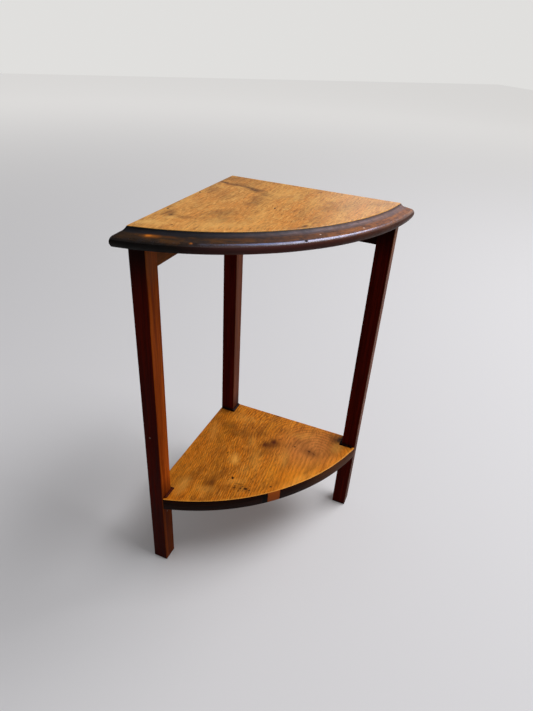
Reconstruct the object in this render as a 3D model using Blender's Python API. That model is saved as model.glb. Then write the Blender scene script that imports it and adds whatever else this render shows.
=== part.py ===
"""Corner plant stand: a bow-fronted top and shelf on three square posts.

The stand is built in the corner's own frame and then turned to face forward. In the corner's frame
the origin is the outer corner of the back post on the floor, +X runs along the right-hand wall,
-Y runs along the left-hand wall, and +Z is up. All sizes are in metres.
"""
import math

import bmesh
import bpy
from mathutils import Matrix, Vector

# Overall height, from the floor to the flat of the top board.
STAND_HEIGHT = 0.508

# The square posts, and how far the front faces of the two front posts stand from the corner.
POST_SIDE = 0.021
POST_LEFT_REACH = 0.2405
POST_RIGHT_REACH = 0.2325
FOOT_CHAMFER = 0.0012

# The top board. Its straight sides are set in a little from the posts' outer faces. Its flat runs a
# little past the left post's front face and stops a little short of the right one's.
TOP_THICKNESS = 0.017
TOP_SIDE_INSET = 0.0015
TOP_LEFT_OVERHANG = 0.001
TOP_RIGHT_SHORTFALL = 0.0024
TOP_BOW_RISE = 0.054

# The moulding round the top's bowed front, seen in section: a quirk, a cove, a slope and a nose. It
# was shaped by hand and gets narrower towards the right.
MOULDING_LEFT_REACH = 0.021
MOULDING_MIDDLE_REACH = 0.020
MOULDING_RIGHT_REACH = 0.017
QUIRK_DEPTH = 0.0006
COVE_WIDTH = 0.0065
COVE_DEPTH = 0.0036
NOSE_RADIUS = 0.0058
NOSE_DROP = 0.0118
COVE_CONTROL_SHARES = (0.35, 0.85)
NOSE_UNDER_ANGLE = math.radians(30)
MOULDING_END_FLARE = math.radians(15)

# The shelf. Its bow springs from the inner front arrises of the front posts.
SHELF_HEIGHT = 0.1275
SHELF_THICKNESS = 0.0186
SHELF_BOW_RISE = 0.0395
LIPPING_THICKNESS = 0.0022

# The two rails under the top, and the stub tenons on their ends.
RAIL_DEPTH = 0.0365
RAIL_THICKNESS = 0.011
RAIL_SETBACK = 0.002
TENON_THICKNESS = 0.005
TENON_FOOT_SHOULDER = 0.005
TENON_WALL = 0.003

# The hidden dowels. Each runs a named share of the way through the board that it enters.
DOWEL_RADIUS = 0.003
DOWEL_IN_POST = 0.010
DOWEL_IN_SHELF = 0.012
DOWEL_IN_TOP_SHARE = 0.55
DOWEL_CHAMFER = 0.0006

# The joint gap that glue fills, and the easing of the sawn arrises.
GLUE_GAP = 0.0003
ARRIS = 0.0006

# Counts.
BOW_STEPS = 80
COVE_STEPS = 7
NOSE_UPPER_STEPS = 10
NOSE_UNDER_STEPS = 4
DOWEL_SIDES = 20

# Angles that select the long arrises for easing and keep round stretches smooth.
SHARP_ANGLE = math.radians(25)

# Heights and lengths worked out from the sizes above.
TOP_UNDERSIDE = STAND_HEIGHT - TOP_THICKNESS
SHELF_UNDERSIDE = SHELF_HEIGHT - SHELF_THICKNESS
POST_LENGTH = TOP_UNDERSIDE - GLUE_GAP
TOP_LEFT_SIDE = POST_LEFT_REACH + TOP_LEFT_OVERHANG
TOP_RIGHT_SIDE = POST_RIGHT_REACH - TOP_RIGHT_SHORTFALL
SHELF_MIDDLE = (SHELF_HEIGHT + SHELF_UNDERSIDE) / 2
DOWEL_IN_TOP = TOP_THICKNESS * DOWEL_IN_TOP_SHARE
RAIL_MIDDLE = RAIL_SETBACK + RAIL_THICKNESS / 2
TENON_LENGTH = POST_SIDE - RAIL_MIDDLE - TENON_THICKNESS / 2 - TENON_WALL
TENON_TOP_SHOULDER = DOWEL_IN_POST + TENON_WALL


def clear_scene():
    """Removes whatever the scene holds, so that the stand is all there is."""
    for thing in list(bpy.data.objects):
        bpy.data.objects.remove(thing, do_unlink=True)


def wood(name, colour, roughness):
    """Returns a plain material in one wood colour."""
    material = bpy.data.materials.new(name)
    material.use_nodes = True
    shader = material.node_tree.nodes["Principled BSDF"]
    shader.inputs["Base Color"].default_value = (*colour, 1)
    shader.inputs["Roughness"].default_value = roughness
    shader.inputs["Metallic"].default_value = 0
    return material


def add_object(name, bm, material, parent):
    """Turns a bmesh into a named object under the stand's frame."""
    bmesh.ops.recalc_face_normals(bm, faces=bm.faces)
    mesh = bpy.data.meshes.new(name)
    bm.to_mesh(mesh)
    bm.free()
    mesh.shade_smooth()
    mesh.set_sharp_from_angle(angle=SHARP_ANGLE)
    piece = bpy.data.objects.new(name, mesh)
    bpy.context.collection.objects.link(piece)
    if material:
        piece.data.materials.append(material)
    piece.parent = parent
    return piece


def ease_arrises(piece, width):
    """Rounds the piece's sharp edges by a small named width."""
    bevel = piece.modifiers.new("eased_arrises", "BEVEL")
    bevel.width = width
    bevel.segments = 2
    bevel.limit_method = "ANGLE"
    bevel.angle_limit = SHARP_ANGLE
    bevel.use_clamp_overlap = True


def cut(piece, cutter):
    """Cuts one solid's shape out of a piece."""
    cutter.hide_render = True
    cutter.display_type = "WIRE"
    boolean = piece.modifiers.new(cutter.name, "BOOLEAN")
    boolean.operation = "DIFFERENCE"
    boolean.solver = "EXACT"
    boolean.object = cutter


def box_mesh(low, high):
    """Returns a bmesh block between two opposite corners."""
    bm = bmesh.new()
    bmesh.ops.create_cube(bm, size=1)
    size = Vector(high) - Vector(low)
    middle = (Vector(high) + Vector(low)) / 2
    bmesh.ops.scale(bm, vec=size, verts=bm.verts)
    bmesh.ops.translate(bm, vec=middle, verts=bm.verts)
    return bm


def slab_mesh(outline, underside, upper):
    """Returns a bmesh board: a flat outline raised from its underside to its upper face."""
    bm = bmesh.new()
    corners = [bm.verts.new((x, y, underside)) for x, y in outline]
    face = bm.faces.new(corners)
    grown = bmesh.ops.extrude_face_region(bm, geom=[face])
    raised = [item for item in grown["geom"] if isinstance(item, bmesh.types.BMVert)]
    bmesh.ops.translate(bm, vec=(0, 0, upper - underside), verts=raised)
    return bm


def bow(left_end, right_end, rise):
    """Returns centre and radius of the arc that bulges by rise between two plan points."""
    left_end, right_end = Vector(left_end), Vector(right_end)
    chord = right_end - left_end
    half = chord.length / 2
    radius = (half * half + rise * rise) / (2 * rise)
    inward = Vector((-chord.y, chord.x)).normalized()
    centre = (left_end + right_end) / 2 + inward * (radius - rise)
    return centre, radius


def depth_at(centre, radius, x):
    """Returns the y at which the front of the bow crosses a line of constant x."""
    return centre.y - math.sqrt(radius * radius - (x - centre.x) ** 2)


def width_at(centre, radius, y):
    """Returns the x at which the right of the bow crosses a line of constant y."""
    return centre.x + math.sqrt(radius * radius - (y - centre.y) ** 2)


def arc_points(centre, radius, start, end):
    """Returns evenly spaced plan points on the bow, from one of its points to another."""
    first = math.atan2(start[1] - centre.y, start[0] - centre.x)
    last = math.atan2(end[1] - centre.y, end[0] - centre.x)
    turns = [first + (last - first) * step / BOW_STEPS for step in range(BOW_STEPS + 1)]
    return [(centre.x + radius * math.cos(a), centre.y + radius * math.sin(a)) for a in turns]


# The bow of the top, which the board and the moulding share, and the bow of the shelf.
TOP_LEFT_END = Vector((TOP_SIDE_INSET, -TOP_LEFT_SIDE))
TOP_RIGHT_END = Vector((TOP_RIGHT_SIDE, -TOP_SIDE_INSET))
TOP_CENTRE, TOP_RADIUS = bow(TOP_LEFT_END, TOP_RIGHT_END, TOP_BOW_RISE)
SHELF_CENTRE, SHELF_RADIUS = bow(
    (POST_SIDE, -POST_LEFT_REACH), (POST_RIGHT_REACH, -POST_SIDE), SHELF_BOW_RISE
)

# Each post's outer corner in plan.
POST_CORNERS = {
    "back": (0, 0),
    "left": (0, -(POST_LEFT_REACH - POST_SIDE)),
    "right": (POST_RIGHT_REACH - POST_SIDE, 0),
}


def post_centre(side):
    """Returns the plan point at the middle of a post."""
    x, y = POST_CORNERS[side]
    return x + POST_SIDE / 2, y - POST_SIDE / 2


def turn_about_top(x, y):
    """Returns the angle of a plan point about the centre of the top's bow."""
    return math.atan2(y - TOP_CENTRE.y, x - TOP_CENTRE.x)


# Where the bow of the top's flat starts and ends.
TOP_FIRST_TURN = turn_about_top(*TOP_LEFT_END)
TOP_LAST_TURN = turn_about_top(*TOP_RIGHT_END)


def moulding_reach(turn):
    """Returns how far the moulding stands out at a turn, on a parabola through three widths."""
    t = (turn - TOP_FIRST_TURN) / (TOP_LAST_TURN - TOP_FIRST_TURN)
    left = MOULDING_LEFT_REACH * (1 - t) * (1 - 2 * t)
    middle = MOULDING_MIDDLE_REACH * 4 * t * (1 - t)
    right = MOULDING_RIGHT_REACH * t * (2 * t - 1)
    return left + middle + right


def moulding_section():
    """Returns the section at the middle: points (reach from the joint, depth below the flat)."""
    start = Vector((0, QUIRK_DEPTH))
    foot = Vector((COVE_WIDTH, QUIRK_DEPTH + COVE_DEPTH))
    across, down = COVE_CONTROL_SHARES
    control = start + Vector((COVE_WIDTH * across, COVE_DEPTH * down))
    points = []
    for step in range(COVE_STEPS + 1):
        t = step / COVE_STEPS
        points.append(start * (1 - t) ** 2 + control * (2 * t * (1 - t)) + foot * t**2)
    # The slope leaves the cove's foot in a straight line that runs tangent into the nose.
    middle = Vector((MOULDING_MIDDLE_REACH - NOSE_RADIUS, NOSE_DROP))
    to_middle = middle - foot
    fall = math.atan2(to_middle.y, to_middle.x) - math.asin(NOSE_RADIUS / to_middle.length)
    upper = fall - math.pi / 2
    turns = [upper * (1 - step / NOSE_UPPER_STEPS) for step in range(NOSE_UPPER_STEPS)]
    turns += [NOSE_UNDER_ANGLE * step / NOSE_UNDER_STEPS for step in range(NOSE_UNDER_STEPS + 1)]
    for turn in turns:
        points.append(middle + NOSE_RADIUS * Vector((math.cos(turn), math.sin(turn))))
    # Below the nose the face leans back to the flat underside, which runs home to the joint.
    last = points[-1]
    lean = (TOP_THICKNESS - last.y) * math.tan(NOSE_UNDER_ANGLE)
    points.append(Vector((last.x - lean, TOP_THICKNESS)))
    points.append(Vector((0, TOP_THICKNESS)))
    return points


def trim(bm, point, outward):
    """Cuts a mesh off beyond an upright plane and closes the cut."""
    result = bmesh.ops.bisect_plane(
        bm,
        geom=[*bm.verts, *bm.edges, *bm.faces],
        plane_co=(*point, 0),
        plane_no=(*outward, 0),
        clear_outer=True,
    )
    rim = [item for item in result["geom_cut"] if isinstance(item, bmesh.types.BMEdge)]
    bmesh.ops.contextual_create(bm, geom=rim)


def moulding_mesh():
    """Sweeps the moulding's section round the bow and trims both ends to their flared planes."""
    bm = bmesh.new()
    spare = 2 * MOULDING_LEFT_REACH / TOP_RADIUS
    start = Matrix.Rotation(TOP_FIRST_TURN - spare, 3, "Z")
    pivot = (*TOP_CENTRE, 0)
    ring = []
    for reach, depth in moulding_section():
        x = TOP_CENTRE.x + TOP_RADIUS + reach
        ring.append(bm.verts.new((x, TOP_CENTRE.y, STAND_HEIGHT - depth)))
    edges = [bm.edges.new((ring[i - 1], ring[i])) for i in range(len(ring))]
    bmesh.ops.rotate(bm, cent=pivot, matrix=start, verts=ring)
    bmesh.ops.spin(
        bm,
        geom=[*ring, *edges],
        cent=pivot,
        axis=(0, 0, 1),
        angle=TOP_LAST_TURN - TOP_FIRST_TURN + 2 * spare,
        steps=BOW_STEPS,
    )
    # Each section is drawn in or out to the moulding's width at that turn.
    for corner in bm.verts:
        turn = turn_about_top(corner.co.x, corner.co.y)
        outward = Vector((math.cos(turn), math.sin(turn)))
        reach = (corner.co.xy - TOP_CENTRE).length - TOP_RADIUS
        reach *= moulding_reach(turn) / MOULDING_MIDDLE_REACH
        corner.co.xy = TOP_CENTRE + outward * (TOP_RADIUS + reach)
    lean, along = math.sin(MOULDING_END_FLARE), math.cos(MOULDING_END_FLARE)
    trim(bm, TOP_LEFT_END, (-along, lean))
    trim(bm, TOP_RIGHT_END, (-lean, along))
    return bm


def top_board_mesh():
    """Returns the top board, whose bowed edge stops a glue gap inside the moulding."""
    radius = TOP_RADIUS - GLUE_GAP
    side = TOP_SIDE_INSET
    left_end = (side, depth_at(TOP_CENTRE, radius, side))
    right_end = (width_at(TOP_CENTRE, radius, -side), -side)
    outline = [(side, -side), *arc_points(TOP_CENTRE, radius, left_end, right_end)]
    return slab_mesh(outline, TOP_UNDERSIDE, STAND_HEIGHT)


def shelf_bow(radius):
    """Returns the stretch of the shelf's bow that lies between the two front posts."""
    inner = POST_SIDE + GLUE_GAP
    left_end = (inner, depth_at(SHELF_CENTRE, radius, inner))
    right_end = (width_at(SHELF_CENTRE, radius, -inner), -inner)
    return arc_points(SHELF_CENTRE, radius, left_end, right_end)


def shelf_board_mesh():
    """Returns the shelf, with a square notch for each of the three posts."""
    inner = POST_SIDE + GLUE_GAP
    left_notch = POST_LEFT_REACH - inner
    right_notch = POST_RIGHT_REACH - inner
    outline = [
        (0, -inner),
        (0, -left_notch),
        (inner, -left_notch),
        *shelf_bow(SHELF_RADIUS - LIPPING_THICKNESS - GLUE_GAP),
        (right_notch, -inner),
        (right_notch, 0),
        (inner, 0),
        (inner, -inner),
    ]
    return slab_mesh(outline, SHELF_UNDERSIDE, SHELF_HEIGHT)


def lipping_mesh():
    """Returns the strip glued to the shelf's bowed edge."""
    outer = shelf_bow(SHELF_RADIUS)
    inner = shelf_bow(SHELF_RADIUS - LIPPING_THICKNESS)
    return slab_mesh([*outer, *reversed(inner)], SHELF_UNDERSIDE, SHELF_HEIGHT)


def push_out(bm, face, shift):
    """Extrudes one face of a closed mesh and returns the new face."""
    grown = bmesh.ops.extrude_face_region(bm, geom=[face])
    bm.faces.remove(face)
    corners = [item for item in grown["geom"] if isinstance(item, bmesh.types.BMVert)]
    bmesh.ops.translate(bm, vec=shift, verts=corners)
    return next(item for item in grown["geom"] if isinstance(item, bmesh.types.BMFace))


def rail_mesh(span):
    """Returns a rail along +X between two post faces, with a stub tenon on each end.

    The mesh's origin is on the first post's face, at the middle of the rail's top edge.
    """
    half = RAIL_THICKNESS / 2
    bm = box_mesh((GLUE_GAP, -half, -RAIL_DEPTH), (span - GLUE_GAP, half, -GLUE_GAP))
    for way in (-1, 1):
        bm.faces.ensure_lookup_table()
        end = max(bm.faces, key=lambda face: face.calc_center_median().x * way)
        shoulder = push_out(bm, end, (0, 0, 0))
        for corner in shoulder.verts:
            upper = corner.co.z > -RAIL_DEPTH / 2
            corner.co.y = math.copysign(TENON_THICKNESS / 2, corner.co.y)
            corner.co.z = -TENON_TOP_SHOULDER if upper else TENON_FOOT_SHOULDER - RAIL_DEPTH
        push_out(bm, shoulder, (way * (TENON_LENGTH + GLUE_GAP), 0, 0))
    return bm


def mortise_mesh():
    """Returns the block that a tenon's mortise is cut with, reaching into a post along -X."""
    half = TENON_THICKNESS / 2 + GLUE_GAP
    low = (-TENON_LENGTH - GLUE_GAP, -half, TENON_FOOT_SHOULDER - RAIL_DEPTH - GLUE_GAP)
    high = (POST_SIDE, half, GLUE_GAP - TENON_TOP_SHOULDER)
    return box_mesh(low, high)


def post_mesh():
    """Returns a post with its outer corner over the origin and its foot chamfered all round."""
    bm = box_mesh((0, -POST_SIDE, 0), (POST_SIDE, 0, POST_LENGTH))
    foot = [edge for edge in bm.edges if max(v.co.z for v in edge.verts) < POST_SIDE]
    bmesh.ops.bevel(bm, geom=foot, offset=FOOT_CHAMFER, segments=1, affect="EDGES")
    return bm


def rod_mesh(radius, below, above):
    """Returns an upright round rod that reaches below and above its origin."""
    bm = bmesh.new()
    bmesh.ops.create_cone(
        bm, cap_ends=True, segments=DOWEL_SIDES, radius1=radius, radius2=radius, depth=below + above
    )
    bmesh.ops.translate(bm, vec=(0, 0, (above - below) / 2), verts=bm.verts)
    return bm


def place(piece, location, rotation=(0, 0, 0)):
    """Sets where a piece stands in the corner's frame."""
    piece.location = location
    piece.rotation_euler = rotation
    return piece


def add_dowel(name, location, rotation, above, pieces):
    """Adds a dowel and cuts its hole in the two pieces that it joins."""
    dowel = add_object(name, rod_mesh(DOWEL_RADIUS, DOWEL_IN_POST, above), DOWEL_WOOD, FRAME)
    place(dowel, location, rotation)
    ease_arrises(dowel, DOWEL_CHAMFER)
    hole = rod_mesh(DOWEL_RADIUS + GLUE_GAP, DOWEL_IN_POST + GLUE_GAP, above + GLUE_GAP)
    cutter = place(add_object(name + "_hole", hole, None, FRAME), location, rotation)
    for piece in pieces:
        cut(piece, cutter)


def centre_on_floor(frame):
    """Moves the stand so that the middle of its footprint box is the origin."""
    bpy.context.view_layer.update()
    graph = bpy.context.evaluated_depsgraph_get()
    spots = []
    for piece in bpy.data.objects:
        if piece.type == "MESH" and not piece.hide_render:
            solid = piece.evaluated_get(graph)
            spots += [solid.matrix_world @ vertex.co for vertex in solid.data.vertices]
    across = [spot.x for spot in spots]
    along = [spot.y for spot in spots]
    frame.location.x -= (min(across) + max(across)) / 2
    frame.location.y -= (min(along) + max(along)) / 2


clear_scene()

# The corner's frame, turned so that the bow faces -Y.
FRAME = bpy.data.objects.new("corner_frame", None)
bpy.context.collection.objects.link(FRAME)
FRAME.rotation_euler.z = math.radians(-45)

TOP_WOOD = wood("honey_top_wood", (0.58, 0.29, 0.09), 0.42)
SHELF_WOOD = wood("amber_shelf_wood", (0.45, 0.19, 0.045), 0.40)
POST_WOOD = wood("red_brown_post_wood", (0.060, 0.014, 0.008), 0.34)
MOULDING_WOOD = wood("dark_stained_moulding_wood", (0.045, 0.022, 0.013), 0.32)
LIPPING_WOOD = wood("dark_lipping_wood", (0.020, 0.008, 0.006), 0.40)
DOWEL_WOOD = wood("pale_dowel_wood", (0.55, 0.36, 0.18), 0.60)

# The two boards and the strips on their bowed edges.
top_board = add_object("top_board", top_board_mesh(), TOP_WOOD, FRAME)
top_edge_moulding = add_object("top_edge_moulding", moulding_mesh(), MOULDING_WOOD, FRAME)
shelf_board = add_object("shelf_board", shelf_board_mesh(), SHELF_WOOD, FRAME)
shelf_edge_lipping = add_object("shelf_edge_lipping", lipping_mesh(), LIPPING_WOOD, FRAME)
for board in (top_board, shelf_board, shelf_edge_lipping):
    ease_arrises(board, ARRIS)

# The three posts. A post's own origin is the foot of its outer corner.
posts = {}
for side, (x, y) in POST_CORNERS.items():
    posts[side] = place(add_object("post_" + side, post_mesh(), POST_WOOD, FRAME), (x, y, 0))
    ease_arrises(posts[side], ARRIS)

# The two rails. The left one is turned to run along the left wall.
RAIL_PLACES = {
    "left": ((RAIL_MIDDLE, -POST_SIDE, TOP_UNDERSIDE), math.radians(-90), POST_LEFT_REACH),
    "right": ((POST_SIDE, -RAIL_MIDDLE, TOP_UNDERSIDE), 0, POST_RIGHT_REACH),
}
for side, (start, turn, reach) in RAIL_PLACES.items():
    span = reach - 2 * POST_SIDE
    rail = add_object("rail_" + side, rail_mesh(span), POST_WOOD, FRAME)
    place(rail, start, (0, 0, turn))
    ease_arrises(rail, ARRIS)
    near = add_object(f"rail_{side}_near_mortise", mortise_mesh(), None, FRAME)
    cut(posts["back"], place(near, start, (0, 0, turn)))
    finish = Vector(start) + Matrix.Rotation(turn, 3, "Z") @ Vector((span, 0, 0))
    far = add_object(f"rail_{side}_far_mortise", mortise_mesh(), None, FRAME)
    cut(posts[side], place(far, finish, (0, 0, turn + math.pi)))

# A dowel from the top end of each post up into the top board.
for side in posts:
    centre = (*post_centre(side), TOP_UNDERSIDE)
    add_dowel("top_dowel_" + side, centre, (0, 0, 0), DOWEL_IN_TOP, (posts[side], top_board))

# A dowel from each post sideways into the shelf, along the stand's straight sides.
SHELF_DOWELS = {
    "left": ((POST_SIDE / 2, POST_SIDE - POST_LEFT_REACH), (math.radians(-90), 0, 0)),
    "right": ((POST_RIGHT_REACH - POST_SIDE, -POST_SIDE / 2), (0, math.radians(-90), 0)),
    "back": ((POST_SIDE, -POST_SIDE / 2), (0, math.radians(90), 0)),
}
for side, (spot, turn) in SHELF_DOWELS.items():
    centre = (*spot, SHELF_MIDDLE)
    add_dowel("shelf_dowel_" + side, centre, turn, DOWEL_IN_SHELF, (posts[side], shelf_board))

centre_on_floor(FRAME)
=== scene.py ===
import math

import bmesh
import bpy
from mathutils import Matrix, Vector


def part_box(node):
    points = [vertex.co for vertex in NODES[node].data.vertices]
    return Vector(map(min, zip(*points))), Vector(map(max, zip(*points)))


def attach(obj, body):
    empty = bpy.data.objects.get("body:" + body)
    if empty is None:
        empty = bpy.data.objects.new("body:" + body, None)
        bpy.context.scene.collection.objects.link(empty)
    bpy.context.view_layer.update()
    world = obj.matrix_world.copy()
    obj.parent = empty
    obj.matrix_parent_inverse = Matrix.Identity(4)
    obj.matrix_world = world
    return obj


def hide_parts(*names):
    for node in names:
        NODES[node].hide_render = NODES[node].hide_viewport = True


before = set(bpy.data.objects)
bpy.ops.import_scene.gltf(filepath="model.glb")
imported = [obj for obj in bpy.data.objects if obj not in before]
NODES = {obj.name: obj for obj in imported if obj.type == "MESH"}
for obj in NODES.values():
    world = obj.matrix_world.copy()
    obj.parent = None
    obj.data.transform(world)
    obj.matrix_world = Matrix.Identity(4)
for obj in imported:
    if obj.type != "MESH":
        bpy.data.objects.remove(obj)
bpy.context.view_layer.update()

# %% [markdown]
# # A corner plant stand, finished
#
# The frame that was just loaded is the joinery: a top board, a shelf, three square posts, two rails and
# the dowels between them, each a separate piece at its real size in metres. This lesson gives those
# pieces the surfaces of an old stand: honey-coloured boards under worn varnish, posts stained a dark
# red-brown, and a nearly black moulding. It also makes the few pieces whose shape the frame only hints at.

MM = 0.001
print("pieces in the frame:", len(NODES))

# %% [markdown]
# ## Where things are
#
# The stand fits the corner of a room, so its plan is easiest to read from that corner. One distance runs
# along the wall on the right and one along the wall on the left. The helper below turns the two distances
# and a height into a place in the scene. Keeping one such helper means that no piece needs its own sums.

# %% A place measured from the room's corner
CORNER = Vector((6.156 * MM, 121.1 * MM, 0))
WALL_TURN = math.radians(-45)
ALONG_RIGHT = Vector((math.cos(WALL_TURN), math.sin(WALL_TURN), 0))
ALONG_LEFT = Vector((math.sin(WALL_TURN), -math.cos(WALL_TURN), 0))
UP = Vector((0, 0, 1))


def from_corner(right, left, height=0.0):
    """Returns the point at these distances along the right wall, along the left wall, and up."""
    return CORNER + right * ALONG_RIGHT + left * ALONG_LEFT + height * UP


STAND_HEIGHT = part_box("top_board")[1][2]
SHELF_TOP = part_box("shelf_board")[1][2]
SHELF_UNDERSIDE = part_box("shelf_board")[0][2]
POST_SIDE = 21 * MM
RIGHT_REACH = 232.5 * MM
LEFT_REACH = 240.5 * MM
print("stand height:", round(STAND_HEIGHT, 4), "shelf top:", round(SHELF_TOP, 4))

# %% [markdown]
# ## The camera
#
# The picture was taken with a phone held above and to the left of the stand, looking down at it. The
# place and the turn below were found by matching the corners of the boards and posts. The lens is given
# in millimetres for a 36 mm wide sensor, which lies along the picture's long side.

# %% Camera
CAMERA_PLACE = (-0.23819, -0.57758, 0.68760)
CAMERA_TURN_DEGREES = (57.782, -3.1049, -22.169)
LENS, SENSOR = 26.963, 36.0
bpy.ops.object.camera_add(location=CAMERA_PLACE, rotation=[math.radians(a) for a in CAMERA_TURN_DEGREES])
camera = bpy.context.object
camera.name = "camera"
camera.data.sensor_width = SENSOR
camera.data.lens = LENS
camera.data.clip_start = 10 * MM
bpy.context.scene.camera = camera
print("camera lens, mm:", round(camera.data.lens, 2))

# %% [markdown]
# ## Colours and nodes
#
# Colours are picked as the hex values that any paint program shows. Blender mixes light in linear
# values, so one function turns a hex value into those. A material is a drawing of nodes, and each node has
# a kind, often a menu at its top, and inputs. The second function adds one node from just these, which
# keeps a material as short as its drawing in the node editor.


# %% A colour from a hex value
def linear(hex_colour):
    """Returns a hex colour such as "c08040" as linear red, green and blue, and a full alpha."""
    parts = [int(hex_colour[i:i + 2], 16) / 255 for i in (0, 2, 4)]
    return tuple(p / 12.92 if p <= 0.04045 else ((p + 0.055) / 1.055) ** 2.4 for p in parts) + (1.0,)


print("a mid honey in linear values:", [round(v, 3) for v in linear("c8873f")[:3]])

# %% A node from its kind, its menu and its inputs
# The menu at a node's top, such as the operation of a Math node, is a property named after what it sets.
MENUS = {"Math": "operation", "VectorMath": "operation", "Mix": "data_type", "Mapping": "vector_type",
         "MapRange": "interpolation_type", "TexGradient": "gradient_type"}


def fill(node, inputs):
    """Fills inputs, each with a number, a vector, a hex colour, an output, or a node for its first output."""
    for key, value in inputs.items():
        socket = node.inputs[key]
        if isinstance(value, bpy.types.Node):
            value = next(output for output in value.outputs if output.enabled)
        if isinstance(value, bpy.types.NodeSocket):
            node.id_data.links.new(value, socket)
        else:
            socket.default_value = linear(value) if isinstance(value, str) else value


def add_node(tree, kind, *inputs, by_name=None):
    """Adds a node such as "Math.MULTIPLY", with its inputs in the order they are shown, or by name."""
    kind, _, choice = kind.partition(".")
    node = tree.nodes.new("ShaderNode" + kind)
    if choice:
        setattr(node, MENUS[kind], choice)
    shown = [index for index, socket in enumerate(node.inputs) if socket.enabled]
    fill(node, dict(zip(shown, inputs)) | (by_name or {}))
    return node


def joined(tree, operation, first, *others):
    """Joins several values, two at a time, with one operation of the Math node."""
    for other in others:
        first = add_node(tree, "Math." + operation, first, other)
    return first


def paint(tree, colour, *layers):
    """Lays tones over a colour, from the bottom up, each by its own share from 0 to 1."""
    for share, tone in layers:
        colour = add_node(tree, "Mix.RGBA", share, colour, tone)
    return colour


print("menus that a node's kind can name:", len(MENUS))

# %% [markdown]
# ## The floor
#
# A studio floor shows a piece of furniture best when it is pale and plain and keeps the shadow. A pale
# floor also throws light up into the dark side of the posts, more than the real room did. So the floor
# looks pale to the camera and in reflections, and is greyer for the light that it scatters.

# %% Floor
FLOOR_SIZE = 14.0
GLOW_FROM, GLOW_TO = 0.3, 5.0
bpy.ops.mesh.primitive_plane_add(size=FLOOR_SIZE)
floor = bpy.context.object
floor.name = "studio_floor"

floor_paint = bpy.data.materials.new("pale_matt_floor_paint")
floor_paint.use_nodes = True
tree = floor_paint.node_tree
tree.nodes.clear()
path = add_node(tree, "LightPath")
seen = joined(tree, "MAXIMUM", path.outputs["Is Camera Ray"], path.outputs["Is Glossy Ray"],
              path.outputs["Is Transmission Ray"])
scatter = add_node(tree, "BsdfDiffuse", "837e77")
pale = add_node(tree, "BsdfDiffuse", "e0deda")
# Far from the stand the lamp no longer reaches the floor, so a faint glow takes over there.
away = add_node(tree, "VectorMath.LENGTH", add_node(tree, "TexCoord").outputs["Object"])
glow = add_node(tree, "MapRange.SMOOTHSTEP", away, GLOW_FROM, GLOW_TO, 0.07, 0.60)
shown = add_node(tree, "AddShader", pale, add_node(tree, "Emission", "f2f0ec", glow))
add_node(tree, "OutputMaterial", add_node(tree, "MixShader", seen, scatter, shown))
floor.data.materials.append(floor_paint)
print("floor side, metres:", FLOOR_SIZE)

# %% [markdown]
# ## The main light
#
# The main light is one long softbox, high on the right, as a wide window would be. A bright line on the
# moulding's nose shows where it must hang: each point of that line mirrors the light into the camera.

# %% Softbox
LAMP_AIM = Vector((0, 0, 0.45))
LAMP_WAY = Vector((0.54, -0.14, 0.83)).normalized()
LAMP_LENGTH_WAY = Vector((0.35, 0.91, -0.24))
LAMP_DISTANCE, LAMP_LENGTH, LAMP_WIDTH, LAMP_WATTS = 2.6, 2.3, 1.1, 71.0

bpy.ops.object.light_add(type="AREA", location=LAMP_AIM + LAMP_WAY * LAMP_DISTANCE)
softbox = bpy.context.object
softbox.name = "softbox"
side = LAMP_WAY.cross(LAMP_LENGTH_WAY).normalized()
softbox.rotation_euler = Matrix((side.cross(LAMP_WAY), side, LAMP_WAY)).transposed().to_euler()
softbox.data.shape = "RECTANGLE"
softbox.data.size = LAMP_LENGTH
softbox.data.size_y = LAMP_WIDTH
softbox.data.energy = LAMP_WATTS
softbox.data.color = linear("f6f7ff")[:3]
print("softbox at, metres:", [round(v, 2) for v in softbox.location])

# %% [markdown]
# ## The rest of the room
#
# Everything beyond the stand is the world, and it answers three kinds of ray. The camera sees a plain
# backdrop. Scattered light is a faint and even fill. Reflections find a pale wall on the right and a dim
# room on the left, and a patch of open sky overhead, which gives the moulding's nose its broad blue sheen.

# %% World
WALL_EDGE = math.radians(29.6)
RIGHT_WAY = (math.cos(WALL_EDGE), -math.sin(WALL_EDGE), 0)
SKY_WAY = Vector((0.495, 0.02, 0.87)).normalized()
SKY_RIM, SKY_FULL, SKY_STRENGTH = 0.88, 0.98, 8.7
world = bpy.data.worlds.new("room_light")
bpy.context.scene.world = world
world.use_nodes = True
tree = world.node_tree
tree.nodes.clear()
path = add_node(tree, "LightPath")
way = add_node(tree, "TexCoord").outputs["Generated"]
rightness = add_node(tree, "VectorMath.DOT_PRODUCT", way, RIGHT_WAY)
brightness = add_node(tree, "MapRange.SMOOTHSTEP", rightness, -0.04, 0.06, 0.16, 0.80)
overhead = add_node(tree, "VectorMath.DOT_PRODUCT", way, SKY_WAY)
openness = add_node(tree, "MapRange.SMOOTHSTEP", overhead, SKY_RIM, SKY_FULL, 0, SKY_STRENGTH)
fill_light = add_node(tree, "Background", "f4f5ff", 0.22)
backdrop = add_node(tree, "Background", "f2f1ef", 0.84)
room = add_node(tree, "AddShader", add_node(tree, "Background", "fbfaff", brightness),
                add_node(tree, "Background", "90b6ff", openness))
mirrored = joined(tree, "MAXIMUM", path.outputs["Is Glossy Ray"], path.outputs["Is Transmission Ray"])
around = add_node(tree, "MixShader", mirrored, fill_light, room)
add_node(tree, "OutputWorld", add_node(tree, "MixShader", path.outputs["Is Camera Ray"], around, backdrop))
bpy.context.scene.view_settings.view_transform = "Standard"
print("sky patch from the way:", [round(v, 2) for v in SKY_WAY])

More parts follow.
